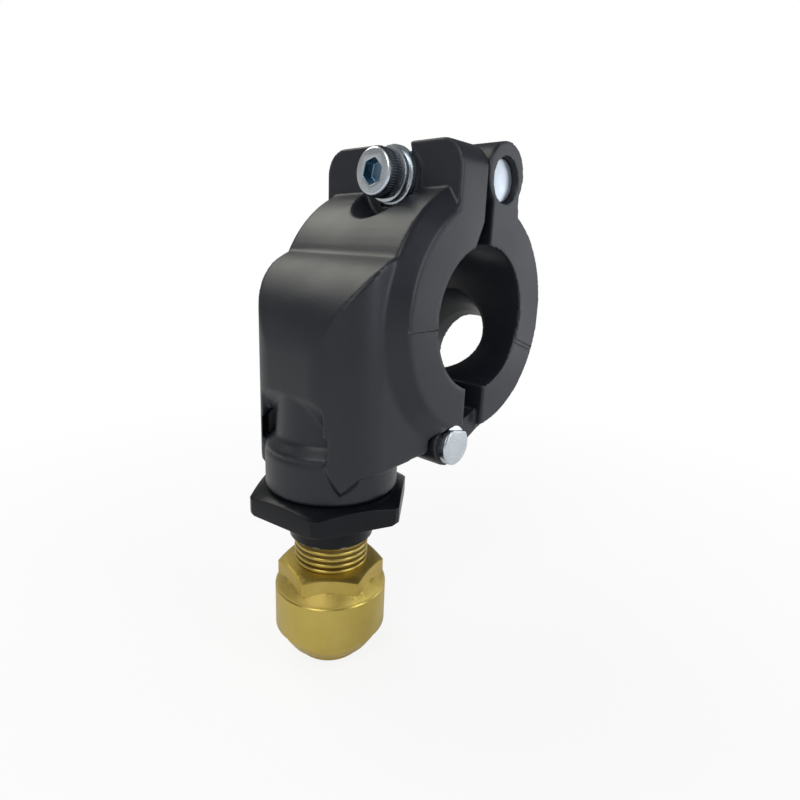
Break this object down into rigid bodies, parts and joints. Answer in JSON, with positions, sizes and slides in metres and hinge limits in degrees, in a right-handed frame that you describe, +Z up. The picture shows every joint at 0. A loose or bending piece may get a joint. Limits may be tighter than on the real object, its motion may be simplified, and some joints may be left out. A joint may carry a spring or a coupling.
{
  "type": "saddle tee",
  "caption": "Hinged saddle tee clamped round a pipe with one cap screw; a hex bush and a brass tube union hang from its side riser.",
  "frame": {"origin": "centre of the pipe bore at mid-length", "axes": "+Y along the pipe bore, away from the face with the pin head; +Z up, opposite to the outlet; +X towards the hinged jaw"},
  "size_m": [0.0889, 0.0504, 0.148],
  "materials": {
    "black_coat": "satin black coat on a die casting, slightly bluish",
    "black_gloss": "gloss black",
    "zinc_steel": "bright bluish zinc plate",
    "dark_steel": "phosphated spring steel",
    "stainless": "plain stainless",
    "brass": "machined and as-forged brass",
    "seal_rubber": "black nitrile",
    "inner_plastic": "natural moulding"
  },
  "bodies": {
    "tee": {"outlet_body": "black_coat", "port_seal": "seal_rubber", "hinge_pin": "zinc_steel", "hinge_circlip": "dark_steel", "hex_bush": "black_gloss", "bush_seal": "seal_rubber", "adapter_seal": "seal_rubber", "brass_adapter": "brass", "tube_oring": "seal_rubber", "ring_spacer": "inner_plastic", "grip_ring": "stainless"},
    "jaw": {"hinged_jaw": "black_coat"},
    "cross_nut": {"barrel_nut": "zinc_steel"},
    "washers": {"flat_washer": "zinc_steel", "spring_washer": "zinc_steel"},
    "screw": {"clamp_screw": "zinc_steel"},
    "union": {"union_nut": "brass"}
  },
  "joints": [
    {"name": "jaw_hinge", "type": "hinge", "parent": "tee", "child": "jaw", "pos_m": [-0.0092, 0, -0.0356], "axis": [0, 1, 0], "range_deg": [0, 8]},
    {"name": "nut_swing", "type": "hinge", "parent": "jaw", "child": "cross_nut", "pos_m": [0.0062, 0, 0.0377], "axis": [0, 1, 0], "range_deg": [-2.2, 0]},
    {"name": "screw_travel", "type": "slide", "parent": "cross_nut", "child": "washers", "axis": [-1, 0, 0], "range_m": [0, 0.0116]},
    {"name": "screw_turn", "type": "hinge", "parent": "washers", "child": "screw", "pos_m": [0, -0.002, 0.0377], "axis": [1, 0, 0], "continuous": true},
    {"name": "union_turn", "type": "hinge", "parent": "tee", "child": "union", "pos_m": [-0.034, 0, -0.085], "axis": [0, 0, 1], "continuous": true}
  ],
  "couplings": [
    {"joint": "nut_swing", "follows": "jaw_hinge", "ratio": -0.25},
    {"joint": "screw_travel", "follows": "jaw_hinge", "m_per_rad": 0.081}
  ]
}
